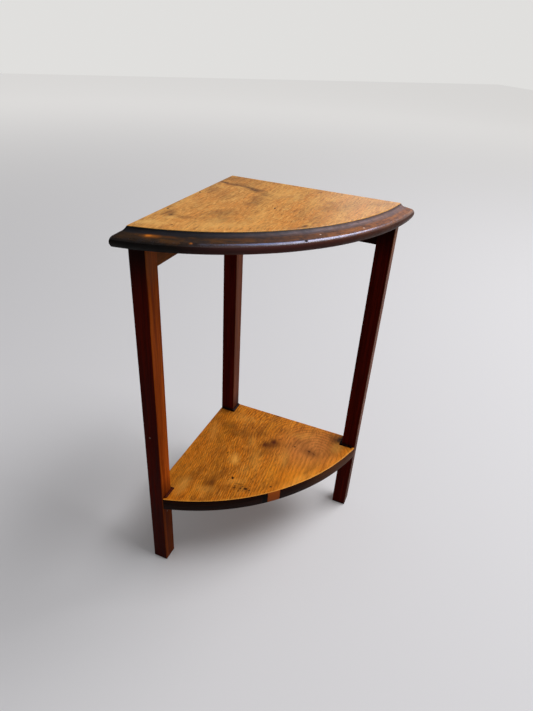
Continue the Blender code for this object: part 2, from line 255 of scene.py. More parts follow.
# %% [markdown]
# ## Patterns that all the woods share
#
# Wood is stained or varnished, and both lie under a thin clear film. So every finish here starts from the
# same surface, with the index of refraction of varnish, 1.5, and differs in how rough and how strong its
# gloss is. Two patterns come back in each of them: a wandering of the coordinates, because nothing that
# grew is straight, and soft patches that can be stretched into fibres, streaks or clouds. The front edges
# are bowed, so a third helper measures along a bow instead of along the straight axes.


# %% A finish's start, and the two patterns
def start_finish(name, roughness, specular, tint="ffffff"):
    """Returns a new material, its node tree and its surface, with the gloss of a varnish set."""
    finish = bpy.data.materials.new(name)
    finish.use_nodes = True
    finish.use_backface_culling = False
    tree = finish.node_tree
    tree.nodes.clear()
    surface = add_node(tree, "BsdfPrincipled", by_name={
        "IOR": 1.5, "Roughness": roughness, "Specular IOR Level": specular, "Specular Tint": tint,
    })
    add_node(tree, "OutputMaterial", surface)
    return finish, tree, surface


def wander(tree, place, size, reach):
    """Shifts a pattern's coordinates by up to reach, in swells of the given size, so it looks grown."""
    swell = add_node(tree, "TexNoise", place, 1 / size, 2.0).outputs["Color"]
    centred = add_node(tree, "VectorMath.SUBTRACT", swell, (0.5, 0.5, 0.5))
    return add_node(tree, "VectorMath.MULTIPLY_ADD", centred, (2 * reach,) * 3, place)


def patches(tree, place, length, width, low, high, detail=3.0, fineness=0.55, most=1.0):
    """Returns soft patches, 0 to most, of a given length along the first axis and width across it."""
    stretched = add_node(tree, "Mapping", place, (0, 0, 0), (0, 0, 0), (1 / length, 1 / width, 1 / width))
    cloud = add_node(tree, "TexNoise", stretched, 1.0, detail, fineness)
    return add_node(tree, "MapRange.SMOOTHSTEP", cloud, low, high, 0, most)


print("a fibre 2 mm wide has the scale:", round(1 / (2 * MM)))


# %% Coordinates that follow a bow
def follow_bow(tree, place, centre, radius):
    """Returns the turn round a bow's centre, the reach from it, the height, and the way along the bow."""
    centred = add_node(tree, "VectorMath.SUBTRACT", place, centre)
    parts = add_node(tree, "SeparateXYZ", centred).outputs
    reach = add_node(tree, "VectorMath.LENGTH", add_node(tree, "VectorMath.MULTIPLY", centred, (1, 1, 0)))
    turn = add_node(tree, "Math.ARCTAN2", parts["X"], joined(tree, "MULTIPLY", parts["Y"], -1.0))
    return turn, reach, parts["Z"], joined(tree, "MULTIPLY", turn, radius)


print("the way along a bow is its turn times its radius")

# %% [markdown]
# ## Marks with their own places
#
# Stains, knots and dents have their own places. Each is a soft oval: its centre, half its length, half
# its width, the way it lies, how strong it is, and, if it isn't quite soft, how wide its rim is. The
# helper joins the ovals of one kind, so that one colour can be laid through them all.


# %% Ovals for stains, knots and dents
def ovals(tree, place, marks, height=0.0, half_height=100.0):
    """Returns the strongest of ovals, each (x, y, half length, half width, turn, strength, rim if not 1)."""
    shares = []
    for x, y, length, width, turn, strength, *rim in marks:
        oval = add_node(tree, "Mapping.TEXTURE", place, (x * MM, y * MM, height), (0, 0, math.radians(turn)),
                        (length * MM, width * MM, half_height))
        ball = add_node(tree, "TexGradient.SPHERICAL", oval).outputs["Fac"]
        shares.append(add_node(tree, "MapRange.SMOOTHSTEP", ball, 0, rim[0] if rim else 1, 0, strength))
    return joined(tree, "MAXIMUM", *shares)


print("an oval without a height of its own goes through the whole stand")

# %% [markdown]
# ## The boards: honey-coloured pine under old varnish
#
# The top and the shelf are slices of the same reddish pine. Three things make such a board read as wood:
# growth rings, which the saw cuts into long lines or, near the heart, into arches; fine fibres along the
# grain; and the stains and knocks of a long life. Each is a separate pattern here, laid along the grain.
#
# The rings come from a distance. Beside the heart line it is the distance across the board, which gives
# straight lines. Past the heart's end the distance is measured round a point, and the lines close in
# arches. Rings are about 8 mm apart at the heart and 4 mm apart 100 mm out from it. The distance gives the
# count of rings passed, its fraction says how far a point is between two rings, and a ramp turns that
# into a soft dark line of late wood.


# %% Growth rings of a sawn board
WAVES_PER_METRE = 45.0


def rings(tree, along, spacing, tightening, wobble, fan):
    """Returns dark ring lines, 0 to 1, and the distance from the heart, which lies along x up to x = 0."""
    parts = add_node(tree, "SeparateXYZ", along).outputs
    spread = add_node(tree, "Math.MULTIPLY_ADD", parts["X"], -fan, 1.0)
    across = add_node(tree, "Math.MULTIPLY", parts["Y"], spread)
    past = add_node(tree, "Math.MAXIMUM", parts["X"], 0.0)
    distance = add_node(tree, "VectorMath.LENGTH", add_node(tree, "CombineXYZ", past, across))
    per_metre = add_node(tree, "Math.MULTIPLY_ADD", distance, tightening, 1 / spacing)
    count = add_node(tree, "Math.MULTIPLY", per_metre, distance)
    waves = add_node(tree, "TexNoise", along, WAVES_PER_METRE, 2.0)
    count = add_node(tree, "Math.MULTIPLY_ADD", waves, wobble, count)
    ramp = add_node(tree, "ValToRGB", add_node(tree, "Math.FRACT", count))
    ramp.color_ramp.interpolation = "EASE"
    ramp.color_ramp.elements[0].position = 0.30
    ramp.color_ramp.elements[1].position = 0.72
    for position in (0.0, 1.0):
        ramp.color_ramp.elements.new(position).color = (0.25, 0.25, 0.25, 1)
    return ramp, distance


print("rings passed 100 mm from the heart, with a spacing of 8 mm:", 100 / 8 + 800 * 0.1**2)

# %% [markdown]
# ## How a board's layers lie on one another
#
# A varnished board is painted from the bottom up: broad bands of lighter and darker wood, ring lines that
# break up into dashes, fibres and pores, grime in clouds, then the marks that have their own places. The
# worn varnish is smoothest where it is clean, so the roughness follows the grime. The bump raises the
# fibres and sinks the ring lines and the dents, all by less than a tenth of a millimetre. Each layer is
# kept as a share and the name of a tone, so that the two boards can use the same layers in their own tones.


# %% The wood itself: bands, rings and fibres
FADE_FROM, FADE_TO = 130 * MM, 220 * MM
# Real fibres are a few hundredths of a millimetre wide, too fine to show, so they are drawn 1 to 3 mm
# wide, with dark pores and pale flecks a few millimetres long among them. Each row is a length and a width
# in millimetres, the limits of the pattern, the name of its depth and the name of its tone.
FIBRES = ((34, 2.8, 0.36, 0.64, "fibre", "fibre"), (11, 1.7, 0.48, 0.68, "fleck", "fleck"),
          (4.5, 3.5, 0.35, 0.70, "mottle", "fibre"), (9, 2.2, 0.50, 0.68, "glint", "pale"))


def wood_layers(tree, grown, ring_shape, depths, painted_sheen):
    """Returns the layers of the wood itself, with any painted sheen over it, its ring lines and its fibres."""
    lines, distance = rings(tree, grown, *ring_shape)
    # The wood round the heart's end is calm and smooth. Farther out the saw has opened its pores, and
    # towards the board's far end the rings lie so flat that the figure fades again.
    calm_to, lively_from, least = depths["calm"]
    lively = add_node(tree, "MapRange", distance, calm_to * MM, lively_from * MM, least, 1)
    paling = add_node(tree, "MapRange", distance, FADE_FROM, FADE_TO, 1, depths["far"])
    drawn_on = joined(tree, "MULTIPLY", lively, paling)

    # Broad bands of lighter and darker wood, then the ring lines, which break up into dashes.
    bands = patches(tree, grown, 140 * MM, 16 * MM, 0.3, 0.7, 2.0)
    fading = patches(tree, grown, 70 * MM, 14 * MM, 0.30, 0.6, 2.0)
    dashes = patches(tree, grown, 8 * MM, 2.0 * MM, 0.38, 0.62, 2.0)
    broken = [add_node(tree, "MapRange", gaps, 0, 1, depths["steady"], 1) for gaps in (fading, dashes)]
    calmer = add_node(tree, "MapRange", lively, 0.3, 1, 0.46, 1)
    drawn = joined(tree, "MULTIPLY", lines, *broken, calmer, paling, depths["ring"])
    # A painted sheen, where a board has one, lies over the broad bands.
    layers = [(bands, "light"), *[(share, "painted_sheen") for share in painted_sheen], (drawn, "ring")]

    for length, width, low, high, depth, tone in FIBRES:
        shifted = add_node(tree, "VectorMath.ADD", grown, (length, width, depths[depth]))
        pattern = patches(tree, shifted, length * MM, width * MM, low, high, 4.0, 0.65)
        pattern = joined(tree, "MULTIPLY", pattern, drawn_on)
        layers.append((joined(tree, "MULTIPLY", pattern, depths[depth]), tone))
        if tone == "fibre":
            fibres = pattern
    return layers, lines, fibres


print("the figure fades between, mm:", round(FADE_FROM / MM), round(FADE_TO / MM))


# %% Grime, stains and knots on a board
def stain_layers(tree, place, grain, grown, depths, marks):
    """Returns the layers of grime, stains and knots, and the clouds of grime, 30 to 60 mm across."""
    clouds = patches(tree, wander(tree, grain, 30 * MM, 8 * MM), 50 * MM, 26 * MM, 0.48, 0.74)
    layers = [(joined(tree, "MULTIPLY", clouds, depths["cloud"]), "grime")]
    # Dirt sinks into the open grain, so a stain is streaky inside.
    sunk = patches(tree, grown, 14 * MM, 3.5 * MM, 0.35, 0.62, 4.0, 0.65)
    sunk = add_node(tree, "MapRange", sunk, 0, 1, 0.55, 1)
    drifting = wander(tree, wander(tree, place, 24 * MM, 6 * MM), 7 * MM, 2.0 * MM)
    for kind, tone in (("soft", "grime"), ("pale", "pale")):
        layers.append((joined(tree, "MULTIPLY", ovals(tree, drifting, marks[kind]), sunk), tone))
    layers.append((ovals(tree, wander(tree, place, 6 * MM, 1.6 * MM), marks["knots"]), "knot"))
    return layers, clouds


print("kinds of mark on a board: spots, soft, pale, knots and haze")

# %% The board finish
# The painted highlight along the front arris lies between these distances inside the bow.
ARRIS_HIGHLIGHT_FROM, ARRIS_HIGHLIGHT_TO = 2.2 * MM, 0.6 * MM


def board_finish(name, grain_turn, heart, ring_shape, depths, gloss, tones, marks, bow, polish):
    """Returns the finish of a varnished pine board. Marks are in millimetres, as seen from above."""
    finish, tree, surface = start_finish(name, sum(gloss) / 2, *polish)
    place = add_node(tree, "TexCoord").outputs["Object"]
    heart_place = (heart[0] * MM, heart[1] * MM, 0)
    grain = add_node(tree, "Mapping.TEXTURE", place, heart_place, (0, 0, math.radians(grain_turn)))
    grown = wander(tree, wander(tree, grain, 80 * MM, 5 * MM), 20 * MM, 1.2 * MM)
    # The painted sheen: ovals of a paler, greyer tone where the varnish would mirror the pale wall.
    painted_sheen = [ovals(tree, place, marks["painted_sheen"])] if "painted_sheen" in marks else []
    layers, lines, fibres = wood_layers(tree, grown, ring_shape, depths, painted_sheen)
    stains, clouds = stain_layers(tree, place, grain, grown, depths, marks)

    # The last 2 mm before the bow are painted a little paler: a painted highlight along the front arris.
    bow_centre, bow_radius = bow
    reach = follow_bow(tree, place, bow_centre, bow_radius)[1]
    rubbed_and_highlit = add_node(tree, "MapRange.SMOOTHSTEP", reach, bow_radius - ARRIS_HIGHLIGHT_FROM, bow_radius - ARRIS_HIGHLIGHT_TO,
                      0, depths["edge"])
    spots = ovals(tree, wander(tree, place, 2.5 * MM, 0.5 * MM), marks["spots"])
    layers += [*stains, (rubbed_and_highlit, "pale"), (spots, "spot")]

    relief = add_node(tree, "Math.MULTIPLY_ADD", fibres, 0.6, joined(tree, "MULTIPLY", lines, -0.4))
    relief = add_node(tree, "Math.SUBTRACT", relief, spots)
    fill(surface, {
        "Base Color": paint(tree, tones["mid"], *[(share, tones[tone]) for share, tone in layers]),
        "Roughness": add_node(tree, "MapRange", clouds, 0, 1, *gloss),
        "Normal": add_node(tree, "Bump", by_name={"Strength": 0.4, "Distance": 0.1 * MM, "Height": relief}),
    })
    return finish


print("width of the rubbed front edge, mm:", ARRIS_HIGHLIGHT_FROM / MM)

# %% [markdown]
# ## The two bows
#
# The front of the top and the front of the shelf are each an arc of a circle, as a string and a nail
# would draw it. Their centres lie behind the room's corner. The moulding, the lipping and the painted
# highlights along the front edges all follow these arcs, so each centre and radius is written down once.

# %% The bow of the top
BOW_CENTRE = from_corner(-48.7874 * MM, -35.2695 * MM)
BOW_RADIUS = 281.3009 * MM
FLAT_LEFT_END = from_corner(1.5 * MM, 241.5 * MM)
FLAT_RIGHT_END = from_corner(230.1 * MM, 1.5 * MM)
print("centre of the bow:", [round(v, 4) for v in BOW_CENTRE], "radius:", BOW_RADIUS)

# %% The bow of the shelf
SHELF_CENTRE = from_corner(-70.7589 * MM, -59.5604 * MM)
SHELF_RADIUS = 313.7769 * MM
LIP = 2.2 * MM
print("centre of the shelf's bow:", [round(v, 4) for v in SHELF_CENTRE])

# %% [markdown]
# ## What has happened to the top
#
# Long use is written on the top: a knot with a dark streak at the back, stains where pots stood, paler
# places that were rubbed clean, and small dents. Each row is one oval, with its middle and its half sizes
# in millimetres, its turn in degrees and its strength, and a rim where that is harder than usual. The
# finish under them is worn varnish with a warm gloss, on pine that has ripened to honey.

# %% The top's marks
TOP_MARKS = {
    "spots": [
        (-14.5, 85, 6.5, 3.2, -62, 0.4), (-9, 77, 8, 3.0, -50, 0.3), (5.8, 58, 7.5, 3.8, -66, 0.5),
        (8.2, 49, 9, 3.2, -80, 0.34), (-59.2, 49, 2.7, 1.2, 75, 0.9, 0.3),
        (5.6, -30.2, 2.6, 1.4, 50, 0.93, 0.3), (-111.2, -6.2, 2.6, 1.4, 60, 0.85, 0.6),
        (-113, -27.5, 4.4, 1.3, -38, 0.81, 0.7), (-121.5, -24, 3.2, 1.1, 20, 0.81, 0.6),
        (-122, -31, 2.4, 1, 0, 0.57, 0.6), (-120, -59.8, 2.2, 1.2, 30, 0.81, 0.5),
        (-154.4, -46.2, 1.4, 0.8, 60, 0.66, 0.6), (-147.2, -36.6, 1.4, 0.8, 60, 0.57, 0.6),
        (13.6, -94.2, 4.4, 2.1, 10, 0.81, 0.8), (73.6, -87.8, 2.2, 1.2, 15, 0.85, 0.4),
        (52.8, 1.8, 27.2, 1, 31, 0.3), (52, -19, 20.8, 1, 38, 0.32), (70, -2, 17.6, 0.9, 36, 0.24),
        (-46, -88, 1.8, 1, 0, 0.57, 0.6), (-90, -78, 1.6, 0.8, 30, 0.47, 0.6),
        (-22, -88, 1.6, 1, 30, 0.47, 0.6),
    ],
    "soft": [
        (-16, 86, 17, 9, -58, 0.5, 0.9), (0, 74, 24, 17, -40, 0.66), (12, 44, 30, 12, -80, 0.72, 0.9),
        (17, 24, 19, 11, -80, 0.52), (0, 10, 24, 17, 60, 0.45, 0.9), (-10, -6, 20, 14, 30, 0.42, 0.9),
        (-56, -34, 26, 18, 0, 0.5, 0.9), (-36, -38, 24, 14, 20, 0.16), (-42, 56, 26, 15, 55, 0.43, 0.9),
        (-35, 32, 34, 17, 60, 0.36), (-103, -38, 20, 10, -40, 0.46, 0.8), (-86, -46, 28, 12, -28, 0.2),
        (-113, -20, 20, 10, 62, 0.68, 0.9), (20, 92, 26, 10, -45, 0.24), (44, 74, 26, 9, -45, 0.29),
        (26, -56, 44, 11, 48, 0.34), (30, -87, 13, 6, 10, 0.5), (4, 100, 34, 22, 0, 0.48, 0.9),
        (8, -97, 34, 9, 2, 0.43), (-78, -6, 26, 10, 45, 0.18), (-22, 22, 18, 10, 10, 0.32),
        (96, -42, 44, 24, 24, 0.30), (136, -42, 34, 16, -10, 0.38), (-30, 78, 26, 6, 45, 0.45),
        (-104, 4, 36, 6, 45, 0.40), (36, -76, 34, 15, 30, 0.3),
    ],
    "pale": [
        (-28, 14, 30, 6.5, 31, 0.51), (-4, 64, 15, 5, -52, 0.42), (-28, 70, 20, 7, -60, 0.36),
        (-119, -35, 12, 6.5, -15, 0.57), (18, -90, 6, 3.4, 20, 0.54, 0.9), (-88, 10, 40, 12, 45, 0.36),
        (42, 22, 44, 22, 40, 0.45), (-64, -72, 70, 18, -14, 0.51), (48, 2, 30, 12, 45, 0.42),
        (-140, -46, 30, 14, -20, 0.7), (-22, -55, 46, 14, 42, 0.36), (60, -30, 40, 9, 42, 0.2),
        (66, -10, 50, 8, 42, 0.3), (-70, -58, 22, 12, 0, 0.36),
    ],
    "knots": [
        (-15, 85, 13, 6, -62, 0.62), (-6, 72, 12, 6, -42, 0.5), (2, 63, 10, 6, -50, 0.58),
        (9, 51, 16, 7, -76, 0.62), (13, -94, 9.3, 3.9, 20, 0.42), (-110, -26, 10.2, 4.2, -40, 0.35),
    ],
}
print("marks on the top:", sum(len(marks) for marks in TOP_MARKS.values()))

# %% The top's finish
TOP_COLOURS = {
    "light": "ffbc5c", "mid": "fea848", "ring": "b46c2c", "fibre": "c07830", "fleck": "7c4616",
    "grime": "583414", "pale": "ffc468", "knot": "542810", "spot": "220e06",
}
TOP_DEPTHS = {"ring": 0.65, "fibre": 0.50, "fleck": 0.74, "mottle": 0.56, "glint": 0.66, "cloud": 0.42,
              "edge": 0.30, "steady": 0.2, "far": 1.0, "calm": (150, 240, 0.5)}
top_finish = board_finish("honey_pine_worn_varnish_top", 45, (160, -260), (8 * MM, 800.0, 0.5, 0.0), TOP_DEPTHS,
                          (0.22, 0.34), TOP_COLOURS, TOP_MARKS, (BOW_CENTRE, BOW_RADIUS), (0.36, "ffe6c8"))
print("top finish:", top_finish.name)

# %% [markdown]
# ## What has happened to the shelf
#
# The shelf was cut near the heart, so its rings close in arches, with one dark knot at the right of its
# middle. On the right, a paler and greyer tone is painted over the wood as a painted sheen of the pale
# wall there. The varnish is duller and more orange than the top's.

# %% The shelf's marks
SHELF_MARKS = {
    "spots": [
        (-45.8, -56.4, 3.2, 1.9, 60, 0.98, 0.3), (-0.5, -90.5, 1.9, 1.5, 0, 0.95, 0.4),
        (67.5, -25.5, 2.2, 1.6, 40, 0.9, 0.5), (-36, -4.1, 3.6, 2.4, 60, 0.7, 0.8),
        (83.8, -42, 4.6, 3.0, -60, 0.75, 0.9), (88, -50, 8, 2.0, -72, 0.45),
        (-35.8, -82.5, 3.6, 2.3, -20, 0.95, 0.5), (-42, -79.5, 3.2, 1.5, 40, 0.8, 0.6),
        (-50, -74.5, 4.4, 1.5, -20, 0.7, 0.8), (-41, -71, 9, 1.5, -30, 0.6, 0.8),
        (72, 52, 4.2, 1.8, -40, 0.8, 0.8), (-32, -87, 2.2, 1.4, 0, 0.85, 0.6),
        (-47, -83, 2.0, 1.3, 0, 0.8, 0.6), (-48, -72, 2.6, 1.1, 70, 0.7, 0.6),
        (-38, -77, 2.0, 1.2, 20, 0.7, 0.6), (-56, -70, 2.2, 1.0, 10, 0.55, 0.6),
        (-28, -80, 2.2, 1.0, -30, 0.6, 0.6), (52, -2, 4.0, 2.0, 10, 0.5, 0.9),
        (-14, 56, 3.0, 1.6, 30, 0.45, 0.9), (142, -34, 9, 6, 60, 0.8),
    ],
    "soft": [
        (-24, 78, 24, 15, 0, 0.50), (-13, 56, 26, 16, -50, 0.62, 0.9), (-6, 37, 30, 17, -20, 0.60, 0.9),
        (-58, -20, 26, 16, 40, 0.40), (-78, -54, 24, 16, 40, 0.60, 0.9), (-66, -36, 30, 14, 45, 0.30),
        (-94, -31, 26, 14, 30, 0.55), (30, 22, 30, 16, 30, 0.55), (141, -27, 20, 15, 40, 0.80, 0.8),
        (34, -10, 36, 22, 0, 0.62), (18, -20, 24, 15, -20, 0.50), (0, 90, 24, 14, 0, 0.85),
        (-45, 20, 40, 9, 58, 0.22), (-38, -80, 24, 11, -20, 0.50), (-60, -72, 26, 10, -20, 0.40),
        (-6, -88, 44, 9, -2, 0.38), (66, 16, 34, 15, -40, 0.34), (70, -76, 30, 11, 20, 0.35),
    ],
    "pale": [
        (-30, -21, 17, 13, 60, 0.9), (-40, 50, 34, 12, 60, 0.35), (-116, -46, 26, 16, 40, 0.70),
        (-90, -62, 24, 12, -30, 0.35), (132, -48, 26, 12, 25, 0.75), (40, -91, 42, 8, 8, 0.40),
        (42, -44, 30, 11, 60, 0.40), (20, 62, 30, 16, -40, 0.35), (-2, -34, 36, 16, 70, 0.35),
        (90, -6, 32, 12, -30, 0.35), (-44, -64, 24, 10, -10, 0.35), (8, 6, 22, 11, 60, 0.30),
        (-24, -44, 20, 12, 45, 0.35),
    ],
    "knots": [
        (25.5, -5.5, 11, 8.5, 60, 0.9), (40, -5.5, 13, 10, 80, 1.0), (32, -9, 24, 13, -5, 0.7),
        (-77, -55, 10, 6, 40, 0.6), (84, -46, 26, 16, -60, 0.55), (84, -43, 6, 4.5, -60, 0.6),
    ],
    # A painted sheen: on the right, the varnish mirrors the pale wall on that side.
    "painted_sheen": [
        (88, -30, 85, 70, 0, 0.62, 0.9),
    ],
}
print("marks on the shelf:", sum(len(marks) for marks in SHELF_MARKS.values()))

# %% The shelf's finish
SHELF_COLOURS = {
    "light": "fe9c26", "mid": "ef8718", "ring": "763a0e", "fibre": "ad5f1c", "fleck": "6a3408",
    "grime": "683a10", "pale": "ffb24a", "knot": "521f08", "spot": "160804", "painted_sheen": "de8c50",
}
SHELF_DEPTHS = {"ring": 1.0, "fibre": 0.66, "fleck": 0.96, "mottle": 0.25, "glint": 0.42, "cloud": 0.45,
                "edge": 0.50, "steady": 0.45, "far": 0.6, "calm": (25, 90, 0.3)}
shelf_finish = board_finish("amber_pine_worn_varnish_shelf", 47, (95, -52), (7.5 * MM, 480.0, 1.2, 1.8),
                            SHELF_DEPTHS, (0.32, 0.44), SHELF_COLOURS, SHELF_MARKS,
                            (SHELF_CENTRE, SHELF_RADIUS), (0.20, "ffc890"))
print("shelf finish:", shelf_finish.name)

# %% [markdown]
# ## The posts and rails: softwood stained red-brown
#
# The legs were stained a dark red-brown and varnished, and nobody filled the grain, so pale and dark
# streaks a millimetre or two wide run along them. The faces that look away from the left wall are painted
# paler: that is painted light, for those are the faces the lamp falls on. The gloss is low and warm: stain
# under thin varnish swallows most of a reflection.
#
# One finish serves all five pieces, because they differ only in their tones, in where the pale face is
# and in the way the grain runs. The pale face of the left post is painted orange, and that of the back and
# the right post a greyer brown, which adds a painted sheen. The rails are of a yellower wood, but the right
# rail is painted near black, as painted shade under the top.


# %% Painted shade and darker places on the posts
SHADE_FROM = STAND_HEIGHT - 80 * MM


def post_darkening(tree, height, lit_pale_face, shade_below_shelf):
    """Returns painted shade under the top and below the shelf, a darker foot, and a darker band above the
    shelf.
    """
    # Painted shade under the top.
    up_there = add_node(tree, "MapRange.SMOOTHSTEP", height, SHADE_FROM, STAND_HEIGHT - 25 * MM)
    # The painted shade under the top is weak on the pale face, which turns to the lamp.
    grime_shade_and_sheen_share = add_node(tree, "MapRange", lit_pale_face, 0, 1, 1, 0.12)
    # The foot is darker over its last 5 mm.
    down_there = add_node(tree, "MapRange.SMOOTHSTEP", height, 5 * MM, 1.5 * MM, 0, 0.85)
    # Painted shade below the shelf.
    below_shelf = add_node(tree, "MapRange.SMOOTHSTEP", height,
                           SHELF_TOP, SHELF_UNDERSIDE - 15 * MM, 0, shade_below_shelf)
    # On the pale face, the 38 mm above the shelf are darker.
    above_shelf = add_node(tree, "MapRange.SMOOTHSTEP", height,
                           SHELF_TOP + 38 * MM, SHELF_TOP + 4 * MM, 0, 0.6)
    return joined(tree, "MAXIMUM", joined(tree, "MULTIPLY", up_there, grime_shade_and_sheen_share), down_there, below_shelf,
                  joined(tree, "MULTIPLY", above_shelf, lit_pale_face))


print("the shade of the top starts at, metres:", round(SHADE_FROM, 3))

# %% The post finish
UP_THE_POST = (0, math.radians(90), 0)
ALONG_LEFT_RAIL = (0, 0, math.radians(90))
ALONG_RIGHT_RAIL = (0, 0, 0)
FLECK = (1.6, 1.6, 0, 0.85, 0.7)


def post_finish(name, pale_at, paling, tones, grain_turn=UP_THE_POST, shade_below_shelf=0.0, flecks=()):
    """Returns the stain of a post or rail, with painted light and shade. pale_at is how far its pale face,
    painted lighter as painted light, is from the left wall.
    """
    finish, tree, surface = start_finish(name, 0.45, 0.06, "c8563a")
    place = add_node(tree, "TexCoord").outputs["Object"]
    height = add_node(tree, "SeparateXYZ", place).outputs["Z"]
    plan = add_node(tree, "Mapping.TEXTURE", place, CORNER, (0, 0, WALL_TURN))
    along_right = add_node(tree, "SeparateXYZ", plan).outputs["X"]
    # The pale face turns to the lamp, and its lighter tones are painted light.
    lit_pale_face = add_node(tree, "MapRange.SMOOTHSTEP", along_right,
                         pale_at - 1.3 * MM, pale_at - 0.2 * MM, 0, paling)

    # The grain: streaks in the stain, broader bands, and fine dark lines where the pores took most of it.
    grain = wander(tree, add_node(tree, "Mapping", plan, (0, 0, 0), grain_turn), 60 * MM, 1.5 * MM)
    streaks = patches(tree, grain, 120 * MM, 1.6 * MM, 0.3, 0.7)
    bands = patches(tree, grain, 160 * MM, 6 * MM, 0.38, 0.62, 2.0, most=0.5)
    lines = patches(tree, grain, 90 * MM, 0.9 * MM, 0.60, 0.72, 2.0, most=0.7)
    streak = paint(tree, tones["deep_streak"], (lit_pale_face, tones["lit_streak"]))
    stained = paint(tree, tones["deep"], (lit_pale_face, tones["lit"]), (streaks, streak))
    banded = add_node(tree, "Mix.RGBA", bands, stained, tones["band"])
    banded.blend_type = "MULTIPLY"
    # The head of the pale face is painted browner, as painted shade under the top.
    head_shade = add_node(tree, "MapRange.SMOOTHSTEP", height, SHADE_FROM, STAND_HEIGHT - 35 * MM, 0, 0.6)
    head_shade = joined(tree, "MULTIPLY", head_shade, lit_pale_face)
    # Painted shade under the top and below the shelf, and the darker foot and band above the shelf.
    darkening = post_darkening(tree, height, lit_pale_face, shade_below_shelf)
    spots = [(ovals(tree, place, [(x, y, *FLECK)], z * MM, 1.8 * MM), "b09a8a") for x, y, z in flecks]
    fill(surface, {
        "Base Color": paint(tree, banded, (lines, tones["line"]), (head_shade, tones["head_shade"]),
                            (darkening, tones["line"]), *spots),
        "Roughness": add_node(tree, "MapRange", streaks, 0, 1, 0.50, 0.65),
        "Normal": add_node(tree, "Bump", by_name={"Strength": 0.5, "Distance": 0.12 * MM, "Height": streaks}),
    })
    return finish


print("turn of the grain for a post, degrees:", [round(math.degrees(a)) for a in UP_THE_POST])

# %% The five stained pieces
POST_TONES = {"deep": "450c05", "deep_streak": "66180b", "lit": "ae4610", "lit_streak": "dc6c20",
              "band": "a08070", "line": "1d0805", "head_shade": "a0663a"}
# The pale faces of the right and the back post are painted a greyer brown, which adds a painted sheen.
RIGHT_POST_TONES = POST_TONES | {"lit": "744630", "lit_streak": "a07058"}
BACK_POST_TONES = POST_TONES | {"lit": "723e28", "lit_streak": "8a5034", "head_shade": "7a4a34"}
# The rails' deep tone is near black. The right rail wears only it, as painted shade under the top.
RAIL_TONES = {"deep": "1c0604", "deep_streak": "2c0b06", "lit": "865024", "lit_streak": "b0743e",
              "band": "a08a78", "line": "1d0c05", "head_shade": "8e5628"}
POST_FLECKS = ((-158.2, -54.7, 232.6), (-142.7, -57.4, 96.6))
left_post_finish = post_finish("red_brown_stain_left_post", POST_SIDE, 1.0, POST_TONES,
                               shade_below_shelf=0.48, flecks=POST_FLECKS)
back_post_finish = post_finish("red_brown_stain_back_post", POST_SIDE, 1.0, BACK_POST_TONES)
right_post_finish = post_finish("red_brown_stain_right_post", RIGHT_REACH, 0.9, RIGHT_POST_TONES)
left_rail_finish = post_finish("brown_stain_left_rail", 0.0, 0.9, RAIL_TONES, ALONG_LEFT_RAIL)
# Painted shade: the right rail has no pale face, so it stays near black.
right_rail_finish = post_finish("dark_stain_and_painted_shade_right_rail", RIGHT_REACH, 0.0, RAIL_TONES, ALONG_RIGHT_RAIL)
print("finishes for posts and rails:", sum("_stain_" in finish.name for finish in bpy.data.materials))

# %% [markdown]
# ## The moulding: stained almost black
#
# The strip round the bowed front was planed to a cove, a long slope and a rounded nose, bent or sawn to
# the bow, and stained nearly black. Hands have polished its nose until it shines, and worn the slope
# back to warm wood in spots. The underside was never rubbed, and stayed dull. So there is one stain with
# three degrees of polish. Its grain follows the bow, so the pattern is laid by the turn round the bow's
# centre: the turn is 0 in the middle of the bow, below 0 at the left and above 0 at the right.

# %% The moulding's marks
MOULDING_BARE = [(-145.8, -72.1, 6.5, 4.0, -25, 1.0, 0.9), (-143.0, -73.5, 15.0, 6.0, -25, 0.45),
                 (-128.0, -80.5, 12.0, 4.0, -25, 0.10), (-110.9, -98.0, 2.6, 1.8, -20, 0.7, 0.9),
                 (-62.0, -105.0, 16.0, 4.0, -12, 0.08)]
MOULDING_NICKS = [(3.4, -117.8, 2.4, 1.5, 0, 1.0, 0.5)]
MOULDING_CHIPS = [(24.0, -109.0, 1.4, 1.0, 0, 0.9, 0.5), (81.8, -99.9, 1.7, 1.3, 20, 0.95, 0.5)]
print("bare places, nicks and chips:", len(MOULDING_BARE), len(MOULDING_NICKS), len(MOULDING_CHIPS))


# %% Wear on the moulding's stain, and a painted sheen
STREAK = (22 * MM, 1.5 * MM)


def wear_layers(tree, place, turn, bowed, wear):
    """Returns the layers that handling and daylight have left on the stain, with a painted sheen at the right
    end, its streaks and its age.
    """
    streaks = patches(tree, bowed, *STREAK, 0.35, 0.65, 3.0, 0.65)
    rubbed_and_highlit = patches(tree, bowed, 18 * MM, 6 * MM, 0.48, 0.66, 4.0, 0.65, most=0.75)
    age = patches(tree, place, 9 * MM, 9 * MM, 0.42, 0.66, 4.0, 0.65)
    pores = patches(tree, bowed, 7 * MM, 2.4 * MM, 0.50, 0.68, 3.0, 0.65, most=0.5)
    # The last part of the bow is painted a greyer brown: partly bleached by the daylight from the right, partly
    # a painted sheen of the pale wall there.
    bleached_and_sheen = add_node(tree, "MapRange.SMOOTHSTEP", turn, 0.25, 0.62, 0, 0.32)
    bare = ovals(tree, wander(tree, place, 5 * MM, 1.0 * MM), MOULDING_BARE, STAND_HEIGHT)
    layers = [(streaks, paint(tree, "3a240e", (wear, "aa622a"))),
              (rubbed_and_highlit, paint(tree, "54320f", (wear, "b86e28"))),
              (joined(tree, "MULTIPLY", age, 0.6), "160d09"),
              (pores, "120a06"), (bleached_and_sheen, "8a624c"), (bare, "c8701c")]
    return layers, streaks, age


print("streaks in the stain, mm long and wide:", [round(side / MM, 1) for side in STREAK])

